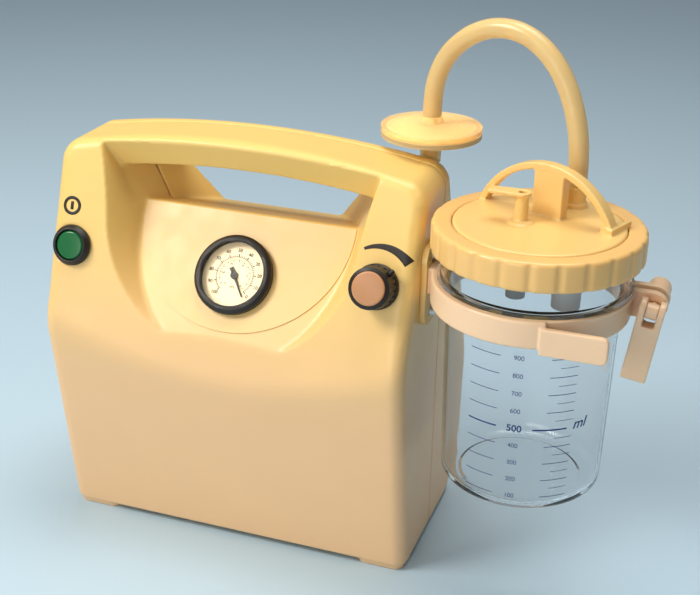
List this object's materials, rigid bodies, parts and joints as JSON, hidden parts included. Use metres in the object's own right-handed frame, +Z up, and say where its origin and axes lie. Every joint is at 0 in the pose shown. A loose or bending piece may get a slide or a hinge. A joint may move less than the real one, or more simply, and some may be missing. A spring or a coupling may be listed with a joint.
{
  "type": "portable suction unit",
  "caption": "Portable suction unit with a carrying handle, vacuum gauge, regulator and a clear collection canister in a clamp ring at its side.",
  "frame": {"origin": "on the floor under the middle of the whole object's box, hose left out", "axes": "+Z up, -Y towards the instrument panel, +X towards the canister"},
  "size_m": [0.4134, 0.181, 0.3761],
  "materials": {
    "case_cream": "fine satin moulded plastic",
    "clamp_cream": "smooth moulded plastic",
    "lid_ivory": "smooth moulded plastic",
    "label_film": "printed film",
    "black_plastic": "satin",
    "dial_white": "printed dial",
    "pointer_black": "painted",
    "gauge_glass": "clear",
    "button_green": "gloss",
    "cap_tan": "satin",
    "steel": "zinc plated",
    "brass": "turned",
    "aluminium": "cast",
    "clear_plastic": "clear moulded plastic",
    "filter_paper": "membrane",
    "float_white": "moulded",
    "hose_amber": "translucent silicone",
    "hose_clear": "translucent silicone",
    "rubber": "matte"
  },
  "bodies": {
    "root": {"front_shell": "case_cream", "rear_shell": "case_cream", "case_screws": "steel", "label_panel": "label_film", "gauge_case": "black_plastic", "gauge_bezel": "black_plastic", "gauge_glass": "gauge_glass", "gauge_movement": "black_plastic", "gauge_dial": "dial_white", "switch_bezel": "black_plastic", "switch_nut": "steel", "switch_block": "black_plastic", "regulator_valve": "brass", "regulator_nut": "steel", "holder_plate": "case_cream", "holder_screws": "steel", "holder_band": "clamp_cream", "clamp_bolt": "steel", "clamp_nut": "clamp_cream", "inlet_spigot": "lid_ivory", "spigot_nut": "steel", "filter_lower": "clear_plastic", "filter_membrane": "filter_paper", "filter_upper": "clear_plastic", "mains_inlet": "black_plastic", "inlet_pins": "steel", "rubber_mounts": "rubber", "pump_frame": "steel", "motor_case": "aluminium", "diaphragm": "rubber", "crankcase": "aluminium", "pump_head": "aluminium", "exhaust_silencer": "float_white", "hose_cross": "clear_plastic", "inlet_hose": "hose_clear", "pump_hose": "hose_clear", "regulator_hose": "hose_clear", "gauge_hose": "hose_clear"},
    "pointer": {"gauge_pointer": "pointer_black"},
    "button": {"power_button": "button_green"},
    "knob": {"regulator_knob": "black_plastic", "knob_cap": "cap_tan", "regulator_spindle": "steel"},
    "lever": {"clamp_lever": "clamp_cream", "clamp_pin": "steel"},
    "jar": {"jar": "clear_plastic"},
    "lid": {"lid_cover": "lid_ivory", "lid_gasket": "rubber", "float_cage": "clear_plastic", "vacuum_hose": "hose_amber"},
    "lid_ring": {"lid_ring": "lid_ivory"},
    "float": {"float_ball": "float_white"},
    "fuse_drawer": {"fuse_drawer": "black_plastic", "fuses": "gauge_glass"},
    "rotor": {"motor_shaft": "steel", "cooling_fan": "black_plastic", "crank": "steel"},
    "rod": {"connecting_rod": "aluminium", "rod_washer": "steel"}
  },
  "joints": [
    {"name": "pointer_swing", "type": "hinge", "parent": "root", "child": "pointer", "pos_m": [-0.0767, -0.03161, 0.2], "axis": [0, -0.8049, 0.5934], "range_deg": [0, 270]},
    {"name": "button_press", "type": "slide", "parent": "root", "child": "button", "axis": [0, 0.9478, -0.3189], "range_m": [0, 0.003], "stiffness_N_per_m": 300, "springref_m": -0.001},
    {"name": "regulator_turn", "type": "hinge", "parent": "root", "child": "knob", "pos_m": [0.0293, -0.04825, 0.21681], "axis": [0, -0.9505, 0.3106], "range_deg": [-135, 135]},
    {"name": "lever_swing", "type": "hinge", "parent": "root", "child": "lever", "pos_m": [0.1977, -0.0262, 0.21865], "axis": [-0.9903, 0, 0.1392], "range_deg": [0, 110]},
    {"name": "jar_lift", "type": "slide", "parent": "root", "child": "jar", "axis": [0, 0, 1], "range_m": [0, 0.15]},
    {"name": "lid_lift", "type": "slide", "parent": "jar", "child": "lid", "axis": [0, 0, 1], "range_m": [0, 0.08]},
    {"name": "ring_turn", "type": "hinge", "parent": "lid", "child": "lid_ring", "pos_m": [0.1242, -0.0242, 0.255], "axis": [0, 0, 1], "range_deg": [0, 360]},
    {"name": "float_rise", "type": "slide", "parent": "lid", "child": "float", "axis": [0, 0, 1], "range_m": [0, 0.02]},
    {"name": "drawer_pull", "type": "slide", "parent": "root", "child": "fuse_drawer", "axis": [0, 1, 0], "range_m": [0, 0.018]},
    {"name": "motor_spin", "type": "hinge", "parent": "root", "child": "rotor", "pos_m": [-0.0617, 0.0163, 0.05], "axis": [1, 0, 0], "continuous": true},
    {"name": "rod_orbit", "type": "hinge", "parent": "rotor", "child": "rod", "pos_m": [-0.0549, 0.0163, 0.052], "axis": [1, 0, 0], "continuous": true, "deforming": ["diaphragm"]}
  ],
  "couplings": [
    {"joint": "rod_orbit", "follows": "motor_spin", "ratio": -1}
  ]
}
